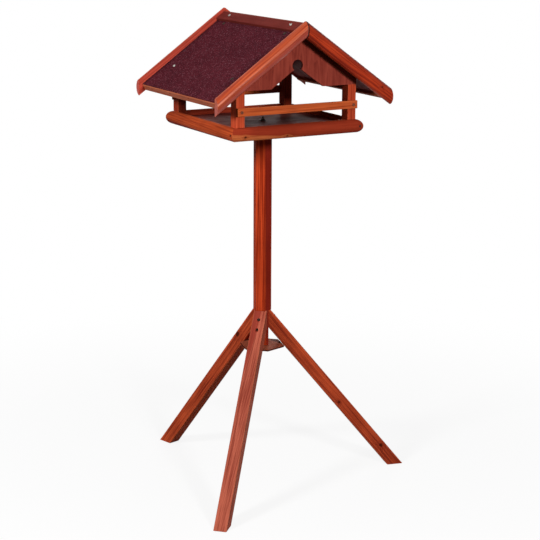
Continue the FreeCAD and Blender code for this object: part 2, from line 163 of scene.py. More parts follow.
def vcalc(operation, *values):
    """One step of arithmetic on vectors."""
    node = add("ShaderNodeVectorMath", dict(enumerate(values)), operation=operation)
    return node.outputs["Value" if operation in ("LENGTH", "DISTANCE") else "Vector"]


def plus(*values, clamp=False):
    """A sum. Clamped, it stays from 0 to 1."""
    *others, last = values
    return calc("ADD", plus(*others) if len(others) > 1 else others[0], last, clamp=clamp)


def times(*values):
    """A product."""
    *others, last = values
    return calc("MULTIPLY", times(*others) if len(others) > 1 else others[0], last)


def axes(vector):
    """The X, Y and Z of a vector."""
    return add("ShaderNodeSeparateXYZ", {0: vector}).outputs


def xyz(x=0.0, y=0.0, z=0.0):
    """A vector from three numbers."""
    return give("ShaderNodeCombineXYZ", {"X": x, "Y": y, "Z": z})


def ease(value, start, stop, to_start=0.0, to_stop=1.0):
    """A smooth step from one value to another while the input goes from start to stop."""
    return give("ShaderNodeMapRange", {
        "Value": value, "From Min": start, "From Max": stop, "To Min": to_start, "To Max": to_stop,
    }, interpolation_type="SMOOTHSTEP")


def blend(factor, a, b):
    """Two colours mixed."""
    sockets = {0: factor, 6: a, 7: b}   # those that the node shows when it mixes colours
    return add("ShaderNodeMix", sockets, data_type="RGBA", clamp_factor=True).outputs[2]


def noise(vector, scale, detail=2.0, seed=0.0):
    """Smooth noise from 0 to 1, a different one for each seed."""
    return give("ShaderNodeTexNoise", {
        "Vector": vector, "Scale": scale, "Detail": detail, "W": seed,
    }, noise_dimensions="4D")


def stretched(vector, share):
    """The point with its Z squeezed, so that a pattern on it runs long in the grain."""
    return vcalc("MULTIPLY", vector, (1.0, 1.0, share))


def new_group(name, inputs, outputs, kind="ShaderNodeTree"):
    """An empty node group with named sockets, its input sockets and its output sockets."""
    tree = work_on(bpy.data.node_groups.new(name, kind))
    for way, sockets in (("INPUT", inputs), ("OUTPUT", outputs)):
        for socket_name, socket_kind in sockets.items():
            tree.interface.new_socket(
                socket_name, in_out=way, socket_type="NodeSocket" + socket_kind)
    return tree, add("NodeGroupInput").outputs, add("NodeGroupOutput").inputs


def place_group(group, values):
    """A group's node in another tree, with its inputs filled."""
    return add("ShaderNodeGroup", values, node_tree=group).outputs


def announce(tree):
    """Says what a finished tree holds."""
    print("tree:", tree.name, "with", len(tree.nodes), "nodes")


def new_skin(name, sheen):
    """A new material to work on, its shader, and the point on the surface."""
    material = bpy.data.materials.new(name)
    material.use_nodes = True
    shader = work_on(material.node_tree).nodes["Principled BSDF"].inputs
    fill(shader, {"Specular IOR Level": sheen})
    return material, shader, add("ShaderNodeTexCoord").outputs["Object"]


def finish_skin(shader, base, roughness, height, strength, depth):
    """Joins a colour, a roughness and a bump to a material's shader."""
    bump = give("ShaderNodeBump", {"Height": height, "Strength": strength, "Distance": depth})
    fill(shader, {"Base Color": base, "Roughness": roughness, "Normal": bump})


def colour(red, green, blue):
    """A colour given as a screen shows it, from 0 to 255, turned into Blender's linear values."""
    shares = [v / 255 for v in (red, green, blue)]
    linear = [v / 12.92 if v <= 0.04045 else ((v + 0.055) / 1.055) ** 2.4 for v in shares]
    return (*linear, 1.0)


print("a mid grey of 128 is", round(colour(128, 128, 128)[0], 3), "in linear values")

# %% [markdown]
# ## Light
#
# The bright line along the rounded roof board, the lit fronts and the lighter left sides say that
# two softboxes of about the same power stood in front of the house and to its left, both above
# it. The dark inside says that little light came from anywhere else: a dim room, and two weak
# lamps, one above and one behind, which only keep the far side readable. The level is plain: a
# surface that faces a lamp renders about as bright as its colour is written. Only rays that go
# straight to the camera, or that metal or glass would send on, see the room as pure white.

# %% Lamps and world
def soft_lamp(name, place, size, power, aim=0.8):
    """A square area lamp that points at the pole's axis, at the height aim."""
    lamp = new_object(name, bpy.data.lights.new(name, "AREA"))
    lamp.data.size = size
    lamp.data.energy = power
    lamp.location = place
    lamp.visible_camera = False
    lamp.rotation_euler = (Vector((0, 0, aim)) - Vector(place)).to_track_quat("-Z", "Y").to_euler()


def seen_by_eye():
    """1 for the camera's rays and those that metal or glass sends on, 0 for bounced light."""
    path = add("ShaderNodeLightPath").outputs
    return calc("MAXIMUM", calc("MAXIMUM", path["Is Camera Ray"], path["Is Glossy Ray"]),
                path["Is Transmission Ray"])


room_level = 0.05
white = (1, 1, 1, 1)
soft_lamp("front_lamp", (-0.22, -3.07, 1.84), 0.40, 68)
soft_lamp("left_lamp", (-2.72, -0.52, 2.24), 0.55, 70)
soft_lamp("back_lamp", (1.90, 2.60, 1.20), 1.4, 22)
soft_lamp("top_lamp", (0.3, 0.2, 3.7), 1.2, 8, aim=0.9)

world = bpy.data.worlds.new("studio")
bpy.context.scene.world = world
world.use_nodes = True
work_on(world.node_tree).nodes.clear()
dim = give("ShaderNodeBackground", {"Color": white, "Strength": room_level})
bright = give("ShaderNodeBackground", {"Color": white, "Strength": 1.0})
both = give("ShaderNodeMixShader", {0: seen_by_eye(), 1: dim, 2: bright})
add("ShaderNodeOutputWorld", {"Surface": both})
bpy.context.scene.view_settings.view_transform = "Standard"

# %% [markdown]
# ## Floor
#
# A big pale disc. Near the object it is a plain matt floor that takes the shadow. Seen directly,
# part of its colour is a flat white glow, which grows with the distance from the object, so that
# the floor runs into the white background with no horizon line. For light that bounces it is a
# mid grey, because the undersides in the photograph are nearly black.

# %% Floor
floor_radius = 30.0
glow_near = 0.87       # share of flat white beside the object
glow_start = 0.4
glow_full = 1.7        # beyond this distance the floor is plain white to the camera
floor_seen = colour(250, 250, 250)
floor_bounce = colour(125, 125, 125)

mesh = bpy.data.meshes.new("floor")
shape = bmesh.new()
bmesh.ops.create_circle(shape, cap_ends=True, segments=96, radius=floor_radius)
shape.to_mesh(mesh)
shape.free()
floor = new_object("floor", mesh)
floor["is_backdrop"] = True

paint = bpy.data.materials.new("floor_paint")
paint.use_nodes = True
work_on(paint.node_tree).nodes.clear()
spot = add("ShaderNodeTexCoord").outputs["Object"]
share = ease(vcalc("LENGTH", spot), glow_start, glow_full, glow_near, 1.0)
seen = seen_by_eye()
matt = give("ShaderNodeBsdfPrincipled", {
    "Base Color": blend(seen, floor_bounce, floor_seen), "Roughness": 0.9,
    "Specular IOR Level": 0.2,
})
glow = give("ShaderNodeEmission", {"Color": white, "Strength": 1.0})
both = give("ShaderNodeMixShader", {0: times(share, seen), 1: matt, 2: glow})
add("ShaderNodeOutputMaterial", {"Surface": both})
mesh.materials.append(paint)
print("floor", floor_radius, "m in radius")

# %% [markdown]
# ## Each piece's own frame
#
# Wood looks like wood when its grain runs the right way. A board is sawn from a trunk, so the
# pattern is thought of in the trunk: Z runs along the grain, and the growth rings are tubes round
# the Z axis. `measured` gives a piece's middle, its half sizes and the turn of such a frame, read
# from its own mesh. A Mapping node set to Texture then takes every point of the object into that
# frame.

# %% Grain frames
roof_pitch = math.radians(35.33)
leg_lean = math.radians(39.2)
front_leg_azimuth = math.radians(-133.8)

side_signs = {"left": -1, "right": 1}
leg_azimuths = {
    "front": front_leg_azimuth,
    "right": front_leg_azimuth + math.radians(120),
    "left": front_leg_azimuth + math.radians(240),
}
upright = (0, 0, 1)
front = (0, -1, 0)
left_to_right = (1, 0, 0)
front_to_back = (0, 1, 0)


def level_way(azimuth):
    """A level direction."""
    return Vector((math.cos(azimuth), math.sin(azimuth), 0))


def down_slope(side):
    """The direction down one slope of the roof."""
    return Vector((side_signs[side] * math.cos(roof_pitch), 0, -math.sin(roof_pitch)))


def up_leg(azimuth):
    """The direction up a leg."""
    return Vector((0, 0, math.cos(leg_lean))) - level_way(azimuth) * math.sin(leg_lean)


def measured(node, along, face):
    """Middle, half sizes and turn of a piece's frame, Z along the grain and Y out of a face."""
    z = Vector(along).normalized()
    y = Vector(face)
    y = (y - z * y.dot(z)).normalized()
    turn = Matrix((y.cross(z), y, z)).transposed()
    points = [turn.transposed() @ v.co for v in nodes[node].data.vertices]
    low = Vector([min(p[i] for p in points) for i in range(3)])
    high = Vector([max(p[i] for p in points) for i in range(3)])
    return turn @ ((low + high) / 2), (high - low) / 2, turn


def own_frame(spot, middle, turn):
    """The surface point in the piece's own frame."""
    return give("ShaderNodeMapping", {
        "Vector": spot, "Location": middle, "Rotation": turn.to_euler(),
    }, vector_type="TEXTURE")


leg_half = measured("leg_front", up_leg(leg_azimuths["front"]), upright)[1]
print("front leg:", [round(2000 * v) for v in leg_half], "mm across, across and along the grain")

# %% [markdown]
# ## Shader group: arrises
#
# The sharp long edges of a bar, which a joiner calls arrises, are rubbed first, and stain takes
# thinly on them. In a bar's own frame the distance to the nearest arris needs no baking: of the
# distances to the six faces, a point on the surface has one that is nought, and the next smallest
# is how far away the nearest edge is. The distance to the broad face is given too: plywood uses
# it.

# %% Arris group
arris_group, given, result = new_group(
    "Arris distance",
    {"Vector": "Vector", "Half Size": "Vector"},
    {"Distance": "Float", "End": "Float", "Face": "Float"},
)
inward = axes(vcalc("SUBTRACT", given["Half Size"], vcalc("ABSOLUTE", given["Vector"])))
smaller = calc("MINIMUM", inward["X"], inward["Y"])
larger = calc("MAXIMUM", inward["X"], inward["Y"])
fill(result, {
    "Distance": calc("MAXIMUM", smaller, calc("MINIMUM", larger, inward["Z"])),
    "End": inward["Z"], "Face": inward["Y"],
})
announce(arris_group)

# %% [markdown]
# ## Shader group: knot
#
# A knot is where a branch left the trunk. It is a dark, hard spot with its own fine rings, and
# the trunk's rings swerve round it. The group gives a mask for the spot, and a bend: how far the
# rings are pushed outwards near it.

# %% Knot group
knot_squash = (1.0, 1.0, 0.75)   # a knot is a little longer along the grain
knot_rings = 14.0                # radians of its own rings in one radius
swerve_reach = 3.6               # in radii
swerve_depth = 1.7               # in radii

knot_group, given, result = new_group(
    "Knot",
    {"Vector": "Vector", "Place": "Vector", "Radius": "Float"},
    {"Mask": "Float", "Bend": "Float"},
)
offset = vcalc("MULTIPLY", vcalc("SUBTRACT", given["Vector"], given["Place"]), knot_squash)
away = calc("DIVIDE", vcalc("LENGTH", offset), given["Radius"])
ragged = calc("SUBTRACT", noise(given["Vector"], 240.0, 2.0), 0.5)
rough_away = plus(times(ragged, 0.9), away)
ripple = plus(times(calc("SINE", times(away, knot_rings)), 0.15), 0.85)
fill(result, {
    "Mask": times(ease(rough_away, 1.15, 0.55), ripple),
    "Bend": times(ease(away, swerve_reach, 0.0), times(given["Radius"], swerve_depth)),
})
announce(knot_group)

# %% [markdown]
# ## Shader group: grime
#
# Outdoor timber collects a little dust and dark grime in broad, soft patches and fine specks.
# They darken the colour, and they make it duller.

# %% Grime group
grime_colour = colour(38, 18, 15)
patch_scale, speck_scale = 14.0, 420.0

grime_group, given, result = new_group(
    "Grime",
    {"Vector": "Vector", "Color": "Color", "Roughness": "Float", "Amount": "Float"},
    {"Color": "Color", "Roughness": "Float"},
)
patch = ease(noise(given["Vector"], patch_scale, 4.0, 3.0), 0.42, 0.74)
speck = ease(noise(given["Vector"], speck_scale, 2.0, 6.0), 0.60, 0.74)
dirt = calc("MULTIPLY", given["Amount"], plus(times(speck, 0.5), patch), clamp=True)
fill(result, {
    "Color": blend(dirt, given["Color"], grime_colour),
    "Roughness": plus(times(dirt, 0.3), given["Roughness"]),
})
announce(grime_group)

# %% [markdown]
# ## Shader group: stained timber
#
# Softwood grows a pale band in spring and a thin dark band in late summer. Cut through, the bands
# show as stripes on one face, as flames on another and as arcs at the end, all from the same
# rings, so the rings are worked out in three dimensions. Fine fibres run along the grain, broad
# streaks come from the way the wood drinks the stain, the heart of the trunk has a colour of its
# own with a sharp edge, and the arrises are paler.

# %% Stained timber group
end_grain_colour = colour(52, 18, 11)
knot_colour = colour(54, 16, 8)
bare_wood_colour = colour(232, 142, 92)
ring_wander = 0.012        # how far the rings stray from true circles
heart_edge = 0.0009        # half the width of the heart's edge
arris_rub = 0.0028         # how far the rubbing reaches from an arris
timber_grime = 0.14
finish_outputs = {"Color": "Color", "Roughness": "Float", "Height": "Float"}


def grain_noise(share, scale, detail=3.0, shift=0.0):
    """Noise that runs long in the grain, for the wood group that is being built."""
    return noise(stretched(given["Vector"], share), scale, detail, plus(given["Seed"], shift))


timber_group, given, result = new_group(
    "Stained timber",
    {
        "Vector": "Vector", "Half Size": "Vector", "Pith": "Vector",
        **dict.fromkeys((
            "Ring Gap", "Slant", "Seed", "Knots", "Bend", "Heart Reach", "Ring Depth",
            "Streak Depth", "Arris Wear", "Dullness",
        ), "Float"),
        "Light": "Color", "Dark": "Color", "Heart": "Color",
    },
    finish_outputs,
)
point, seed, light, dark = (given[name] for name in ("Vector", "Seed", "Light", "Dark"))
nowhere = (0, 0, 0)

# the rings: how far a point is from the pith, counted in years
across = vcalc("MULTIPLY", vcalc("SUBTRACT", point, given["Pith"]), (1.0, 1.0, 0.0))
wander = calc("SUBTRACT", grain_noise(0.10, 22.0, 2.0), 0.5)
radius = plus(
    times(wander, ring_wander), vcalc("LENGTH", across),
    times(axes(point)["Z"], given["Slant"]), given["Bend"],
)
even_years = calc("DIVIDE", radius, given["Ring Gap"])
good_years = noise(nowhere, 1.0, 1.0, plus(times(even_years, 0.45), seed))
years = plus(times(good_years, 1.6), even_years)
season = calc("FRACT", years)
year_seed = plus(times(calc("FLOOR", years), 3.7), seed)
year_depth = ease(noise(nowhere, 1.0, 0.0, year_seed), 0.25, 0.75, 0.35, 1.0)
summer = times(ease(season, 0.25, 0.88), ease(season, 1.0, 0.93), year_depth)

# the stain: how much of it the wood took
fibre = grain_noise(0.012, 1500.0)
streak = grain_noise(0.03, 190.0, shift=5.0)
thread = grain_noise(0.02, 520.0, 2.0, shift=7.0)
blotch = grain_noise(0.35, 26.0, shift=9.0)
stain = plus(
    times(summer, given["Ring Depth"]),
    times(ease(streak, 0.32, 0.68), given["Streak Depth"]),
    ease(thread, 0.3, 0.7, -0.16, 0.16),
    ease(fibre, 0.2, 0.8, -0.10, 0.10),
    ease(blotch, 0.25, 0.75, -0.20, 0.20),
    clamp=True,
)
heart = ease(calc("SUBTRACT", radius, given["Heart Reach"]), heart_edge, -heart_edge)
heart_tone = blend(times(stain, 0.6), given["Heart"], dark)
stained = blend(times(heart, 0.9), blend(stain, light, dark), heart_tone)

# the edges, the ends and the knots
arris = place_group(arris_group, {"Vector": point, "Half Size": given["Half Size"]})
rubbed = times(
    ease(arris["Distance"], arris_rub, 0.0006), ease(streak, 0.35, 0.60, 0.35, 1.0),
    given["Arris Wear"],
)
stained = blend(rubbed, stained, blend(0.30, light, bare_wood_colour))
end_grain = ease(arris["End"], 0.0010, 0.0003, 0.0, 0.7)
stained = blend(end_grain, stained, blend(0.6, dark, end_grain_colour))
stained = blend(times(ease(given["Bend"], 0.0, 0.004), 0.35), stained, dark)
stained = blend(given["Knots"], stained, knot_colour)
dullness = plus(
    given["Dullness"], ease(fibre, 0.2, 0.8, -0.05, 0.07), ease(blotch, 0.3, 0.7, -0.03, 0.05),
    times(end_grain, 0.4),
)
aged = place_group(grime_group, {
    "Vector": point, "Color": stained, "Roughness": dullness, "Amount": timber_grime,
})
fill(result, {
    "Color": aged["Color"], "Roughness": aged["Roughness"],
    "Height": plus(times(given["Knots"], -0.6), times(fibre, 0.5), times(summer, 0.5)),
})
announce(timber_group)

# %% [markdown]
# ## Shader group: stained plywood
#
# A sheet's face is a thin veneer peeled round the log like paper off a roll, so the rings run out
# into wide wandering contours, and short open pores lie along the grain. Its cut edges show the
# layers: every second one is end grain, which drinks more stain. The broad faces are found by
# their distance in the sheet's own frame, so the edges of any cut-out, straight or round, get the
# layers.

# %% Stained plywood group
pore_colour = colour(46, 18, 16)
cross_layer_colour = colour(44, 20, 18)
contours = 17.0            # rings that the veneer's face shows over the whole range of the noise

plywood_group, given, result = new_group(
    "Stained plywood",
    {
        "Vector": "Vector", "Half Size": "Vector", "Layers": "Float", "Seed": "Float",
        "Light": "Color", "Dark": "Color", "Edge": "Color",
    },
    finish_outputs,
)
point = given["Vector"]

# the veneer
rings = calc("FRACT", times(grain_noise(0.16, 15.0, 2.0), contours))
rings = times(ease(rings, 0.1, 0.85), ease(rings, 1.0, 0.9))
fibre = grain_noise(0.02, 1300.0)
streak = grain_noise(0.05, 210.0, shift=4.0)
cloud = grain_noise(0.6, 30.0, shift=8.0)
pores = ease(grain_noise(0.10, 900.0, 1.0, shift=2.0), 0.66, 0.74)
stain = plus(
    times(rings, 0.32), times(ease(streak, 0.3, 0.7), 0.42),
    ease(fibre, 0.2, 0.8, -0.14, 0.14), ease(cloud, 0.3, 0.7, -0.16, 0.22), clamp=True,
)
veneer = blend(times(pores, 0.55), blend(stain, given["Light"], given["Dark"]), pore_colour)

# the layers
arris = place_group(arris_group, {"Vector": point, "Half Size": given["Half Size"]})
thickness = times(axes(given["Half Size"])["Y"], 2.0)
depth = calc("DIVIDE", plus(times(thickness, 0.5), axes(point)["Y"]), thickness)
layer = calc("MODULO", calc("FLOOR", times(depth, given["Layers"])), 2.0)
layered = blend(times(layer, 0.65), given["Edge"], cross_layer_colour)
crumble = ease(noise(point, 800.0, 2.0, given["Seed"]), 0.45, 0.75, 0.0, 0.5)
layered = blend(crumble, layered, given["Dark"])
edge = ease(arris["Face"], 0.00015, 0.00045)
fill(result, {
    "Color": blend(edge, veneer, layered),
    "Roughness": plus(times(edge, 0.3), 0.50, ease(cloud, 0.3, 0.7, -0.05, 0.08)),
    "Height": plus(times(pores, -0.8), fibre, times(edge, layer, -0.6)),
})
announce(plywood_group)

# %% [markdown]
# ## One material for each piece of timber
#
# No two boards come from the same place in the tree, so each piece has a material of its own,
# made by one function. What differs is where the pith lies, how wide the rings are, and how the
# stain took. Its three colours are where the stain is thin, where it is thick, and the heartwood.
# Knots are given by their places on the object. Where two boards meet in a mitre, a thin dark
# line marks the joint.

# %% Timber and plywood functions
timber_pieces = []
seed_step = 1.7
timber_sheen = 0.006
warm_sheen = (1.0, 0.78, 0.66, 1.0)
timber_relief, veneer_relief = 0.0003, 0.0002
mitre_line = 0.0022, 0.0010   # from the mitre: where its dark line starts, and where it is full


def dress(node, material):
    """Gives a node of the model this material alone."""
    nodes[node].data.materials.clear()
    nodes[node].data.materials.append(material)


def wooden(node, kind, group, place, values, relief, sheen):
    """A material whose colour, roughness and bump come from one of the wood groups."""
    material, shader, spot = new_skin(node + "_" + kind, sheen)
    fill(shader, {"Specular Tint": warm_sheen})
    middle, half, turn = place
    here = own_frame(spot, middle, turn)
    wood = place_group(group, {
        "Vector": here, "Half Size": half, "Seed": seed_step * len(timber_pieces),
        **values(spot, here),
    })
    finish_skin(shader, wood["Color"], wood["Roughness"], wood["Height"], 0.5, relief)
    dress(node, material)
    timber_pieces.append(node)


def timber(node, along, face, colours, pith, gap=0.0030, heart=0.0, rings=0.45, streaks=0.5,
           wear=0.5, slant=0.012, knots=(), sheen=timber_sheen, dull=0.44, mitred=False):
    """Gives a piece its own timber. Its pith is a place across the grain, from its middle."""
    middle, half, turn = place = measured(node, along, face)

    def values(spot, here):
        mask = bend = 0.0
        if mitred:
            mask = ease(calc("ABSOLUTE", axes(spot)["X"]), *mitre_line)
        for knot_place, knot_radius in knots:
            own_place = turn.transposed() @ (Vector(knot_place) - middle)
            knot = place_group(knot_group, {
                "Vector": here, "Place": own_place, "Radius": knot_radius,
            })
            mask = calc("MAXIMUM", mask, knot["Mask"])
            bend = plus(bend, knot["Bend"])
        light, dark, core = (colour(*c) for c in colours)
        return {
            "Pith": (*pith, 0.0), "Ring Gap": gap, "Slant": slant, "Knots": mask, "Bend": bend,
            "Heart Reach": heart, "Ring Depth": rings, "Streak Depth": streaks, "Arris Wear": wear,
            "Dullness": dull, "Light": light, "Dark": dark, "Heart": core,
        }

    wooden(node, "timber", timber_group, place, values, timber_relief, sheen)


def plywood(node, along, face, colours, layers=3):
    """Gives a sheet its own plywood: two colours for its face and one for its cut edges."""
    light, dark, edge = (colour(*c) for c in colours)
    wooden(node, "plywood", plywood_group, measured(node, along, face), lambda spot, here: {
        "Layers": layers, "Light": light, "Dark": dark, "Edge": edge,
    }, veneer_relief, timber_sheen)


print("two kinds of wood:", timber_group.name, "and", plywood_group.name)

# %% [markdown]
# ## The stand
#
# The pole is one six-sided bar. Its face towards the right is darkened with the heartwood colour,
# a painted shade on that side, and the left one is bright sapwood with long streaks. The legs are
# square bars; the front one took the stain pale, and its pinkish tone is partly a painted sheen on
# its upper face. The left one has a dark knot near its top, and the right one has two on its side.

# %% Stand finishes
turned_front = level_way(front_leg_azimuth)
# painted shade: the heart band darkens the pole's face towards the right
timber("pole", upright, turned_front, ((194, 69, 33), (124, 31, 14), (138, 36, 28)),
       (-0.0267, 0.0177), 0.0046, heart=0.0150, rings=0.5, streaks=0.8, slant=-0.0100)
# painted sheen: the front leg's pale pinkish colours also stand for the sheen on its upper face
stand_woods = {
    "front": (((190, 99, 77), (132, 54, 41), (152, 58, 45)), (0.045, -0.020), 0.042, -0.07, ()),
    "right": (((200, 82, 46), (120, 38, 24), (96, 30, 20)), (-0.004, 0.060), 0.0, 0.012, (
        ((0.1890, -0.0629, 0.1819), 0.0034), ((0.3013, -0.0905, 0.0554), 0.0050))),
    "left": (((216, 92, 53), (138, 45, 27), (104, 40, 30)), (0.030, 0.040), 0.0, 0.012, (
        ((-0.0353, 0.0642, 0.3598), 0.0062),)),
}
for name, (colours, pith, heart, slant, knots) in stand_woods.items():
    azimuth = leg_azimuths[name]
    timber("leg_" + name, up_leg(azimuth), level_way(azimuth), colours,
           pith, 0.0040, heart, streaks=0.70, wear=0.6, slant=slant, knots=knots)
plywood("stand_plate", turned_front, upright, ((194, 110, 80), (146, 72, 52), (84, 34, 24)))
print(len(timber_pieces), "wooden pieces so far")

# %% [markdown]
# ## The tray and the frame of the house
#
# The tray's front rail shows where sapwood meets heartwood: its lower left part is pale and
# streaky, with two small knots, and the boundary runs down and out of the board to the right. The
# heart's reach and the slant of the rings say where that line runs.

# %% Tray and house frame finishes
red = ((176, 66, 42), (120, 34, 22), (112, 32, 22))
# painted shade: the rafters' darker red stands for the deep shade behind the roof boards
painted_shade_red = ((112, 38, 26), (72, 22, 15), (72, 22, 15))
orange = ((194, 82, 42), (114, 33, 18), (120, 36, 22))
brown = ((212, 100, 52), (150, 56, 28), (124, 48, 26))
timber("tray_rail_front", left_to_right, front, ((222, 120, 68), (136, 46, 26), (146, 42, 27)),
       (0.045, 0.006), 0.0040, heart=0.0575, slant=-0.10, rings=0.35, streaks=0.40,
       knots=(((-0.1400, -0.1745, 0.8986), 0.0030), ((-0.0300, -0.1745, 0.8932), 0.0038)))
timber("tray_rail_back", left_to_right, front, red, (0.05, 0.03))
timber("tray_rail_left", front_to_back, (-1, 0, 0), orange, (0.05, -0.015), 0.0040,
       heart=0.044, slant=-0.03)
timber("tray_rail_right", front_to_back, (1, 0, 0), orange, (0.04, 0.03), 0.0032)
plywood("tray_floor", left_to_right, upright, ((126, 58, 50), (88, 36, 32), (110, 60, 52)), 5)
# painted shade: the back posts' darker colours stand for the shade inside the house
post_woods_and_painted_shade = {
    "front": ((204, 82, 50), (150, 48, 28), (128, 42, 24)),
    "back": ((158, 58, 36), (108, 34, 22), (96, 30, 20)),
}
pith_across = 0.03
for end in ("front", "back"):
    for side in side_signs:
        timber(f"post_{end}_{side}", upright, front, post_woods_and_painted_shade[end], (pith_across, 0.03), 0.0028)
        timber(f"rafter_{end}_{side}", down_slope(side), upright, painted_shade_red, (0.02, 0.05))
        pith_across -= 0.02
for side in side_signs:
    timber("floor_cleat_" + side, front_to_back, upright, red, (0.03, 0.02))
for end in ("front", "back"):
    timber("perch_rail_" + end, left_to_right, front, brown, (0.010, 0.045), 0.0028, streaks=0.4)
    plywood("gable_" + end, upright, front, ((156, 68, 54), (116, 42, 34), (104, 60, 58)))
print(len(timber_pieces), "wooden pieces so far")

# %% [markdown]
# ## The roof's timber
#
# The half-round boards along the gables have a slight sheen, which draws the lamp out into one
# long soft line. The ridge strips and the sheets under the felt took a cooler, plum-coloured
# stain.

# %% Roof timber finishes
plum = ((118, 46, 40), (80, 28, 26), (80, 28, 28))
dark_plum = ((136, 70, 66), (104, 48, 46), (96, 46, 42))
batten_wood = ((190, 104, 74), (140, 66, 44), (126, 56, 40))
back_board = ((204, 80, 62), (150, 48, 36), (120, 42, 32))
for side, sign in side_signs.items():
    slope = down_slope(side)
    plywood("roof_panel_" + side, slope, upright, dark_plum)
    timber("ridge_strip_" + side, front_to_back, upright, plum, (0.02, -0.05),
           streaks=0.3, rings=0.3)
    timber("eaves_batten_" + side, front_to_back, slope, batten_wood, (0.03, -0.04), 0.0030)
    timber("barge_back_" + side, slope, front, back_board, (0.03 * sign, 0.05), 0.0032,
           streaks=0.7, sheen=0.12, dull=0.38)
pale_board = ((192, 84, 44), (138, 42, 20), (176, 72, 58))
red_board = ((190, 64, 32), (120, 30, 18), (122, 34, 22))
timber("barge_front_left", down_slope("left"), front, pale_board, (0.045, -0.020), 0.0040,
       heart=0.0520, slant=0.01, streaks=0.7, sheen=0.30, dull=0.30, mitred=True)
timber("barge_front_right", down_slope("right"), front, red_board, (0.045, -0.010), 0.0042,
       heart=0.037, slant=0.02, streaks=0.7, sheen=0.06, dull=0.36, mitred=True,
       knots=(((0.2001, -0.2130, 0.9985), 0.0030),))
print(len(timber_pieces), "wooden pieces")

# %% [markdown]
# ## Steel that has weathered
#
# Zinc plating starts out bright, with soft crystals in it, and dulls to brown-grey where the
# weather and the stain get at it. One function makes its material: each fastener carries an age
# from 0 to 1 as an attribute, and the material reads it. The tray's nut and washer are plain
# nodes of the model with no such attribute, so they get a kind that is old all over. So do the
# perch's screws, under a thin brown film of stain.

# %% Zinc finish
new_zinc = colour(204, 202, 194), colour(166, 162, 152)
dark_tarnish = colour(62, 38, 28), colour(26, 15, 12)
brown_film = colour(150, 82, 54), colour(88, 46, 32)
metal_relief = 0.00005


def zinc_plate(name, least_age, tarnish=dark_tarnish):
    """Zinc-plated steel, at least this old, and older where its age attribute says so."""
    material, shader, spot = new_skin(name, 0.1)
    age = add("ShaderNodeAttribute", attribute_name="age").outputs["Fac"]
    crystal = add("ShaderNodeTexVoronoi", {"Vector": spot, "Scale": 1400.0}).outputs["Color"]
    cloud = noise(spot, 700.0, 3.0)
    fresh = blend(axes(crystal)["X"], *new_zinc)
    old = plus(calc("MAXIMUM", age, least_age), ease(cloud, 0.3, 0.7, -0.10, 0.10), clamp=True)
    base = blend(old, fresh, blend(cloud, *tarnish))
    finish_skin(shader, base, ease(old, 0.0, 1.0, 0.26, 0.62), cloud, 0.3, metal_relief)
    fill(shader, {"Metallic": ease(old, 0.35, 0.95, 1.0, 0.0)})
    return material


zinc = zinc_plate("zinc_plate", 0.0)
old_zinc = zinc_plate("old_zinc_plate", 1.0)
brown_zinc = zinc_plate("brown_zinc_plate", 1.0, brown_film)
for name in ("tray_washer", "tray_nut"):
    dress(name, old_zinc)
print("finishes:", zinc.name, old_zinc.name, brown_zinc.name)

# %% [markdown]
# ## Pins under the stain
#
# The boards were pinned before they were stained, so the small flat heads took the stain with
# them and hardly show: a smooth dark red dot with a thin film on it and no grain.

# %% Stained pin finish
pin_stain, shader, spot = new_skin("stained_pin", timber_sheen)
film = noise(spot, 900.0, 3.0)
film_colour = blend(film, colour(176, 74, 50), colour(132, 48, 32))
finish_skin(shader, film_colour, ease(film, 0.2, 0.8, 0.45, 0.62), film, 0.3, metal_relief)
print("finish:", pin_stain.name)

# %% [markdown]
# ## Where the fasteners are
#
# The model holds a plain screw or pin wherever one goes, many to a node. Copied, merged and split
# into islands, each one tells its own place: the vertex farthest from its middle is the point of
# its tip, the line from there through the middle is its axis, and the other end is its head. The
# places become the vertices of a small mesh with attributes, which Geometry Nodes will put the
# finer parts on. A node's fasteners share one age, apart from the one that is still bright.

# %% Fastener places
same_place = 1e-6
bright_corner, corner_reach = Vector((-0.175, 0.151, 1.031)), 0.03
bright_age, fair_age, dull_age, dark_age = 0.3, 0.35, 0.6, 1.0


def islands(mesh):
    """The separate solids in a mesh, each a list of points."""
    shape = bmesh.new()
    shape.from_mesh(mesh)
    bmesh.ops.remove_doubles(shape, verts=shape.verts, dist=same_place)
    left = set(shape.verts)
    found = []
    for start in list(shape.verts):
        if start not in left:
            continue
        left.discard(start)
        island = [start]
        for vertex in island:
            for edge in vertex.link_edges:
                other = edge.other_vert(vertex)
                if other in left:
                    left.discard(other)
                    island.append(other)
        found.append([v.co.copy() for v in island])
    shape.free()
    return found


def fastener_places(node, head_height, age=0.0):
    """A mesh with a vertex where each head starts, its way out, its length and its age."""
    places, ways, lengths = [], [], []
    for points in islands(nodes[node].data):
        middle = sum(points, Vector()) / len(points)
        tip = max(points, key=lambda p: (p - middle).length)
        way = (middle - tip).normalized()
        length = max((p - tip).dot(way) for p in points) - head_height
        places.append(tip + way * length)
        ways.append(way)
        lengths.append(length)
    mesh = bpy.data.meshes.new(node + "_places")
    mesh.from_pydata(places, [], [])
    columns = {
        "way_out": ("FLOAT_VECTOR", "vector", [c for w in ways for c in w]),
        "shank_length": ("FLOAT", "value", lengths),
        "age": ("FLOAT", "value", [
            bright_age if (p - bright_corner).length < corner_reach else age for p in places
        ]),
    }
    for name, (kind, field, values) in columns.items():
        mesh.attributes.new(name, kind, "POINT").data.foreach_set(field, values)
    return mesh


print("the ridge strips have", len(islands(nodes["ridge_screws"].data)), "screws")

# %% [markdown]
# ## Geometry Nodes helpers
#
# A turned part, such as a screw head, is a profile that goes round an axis. Geometry Nodes have
# no lathe, but Curve to Mesh makes one: a straight line of points up the axis, each with its own
# radius, swept with a circle. `turned` builds that from pairs of radius and height, which may be
# sockets.

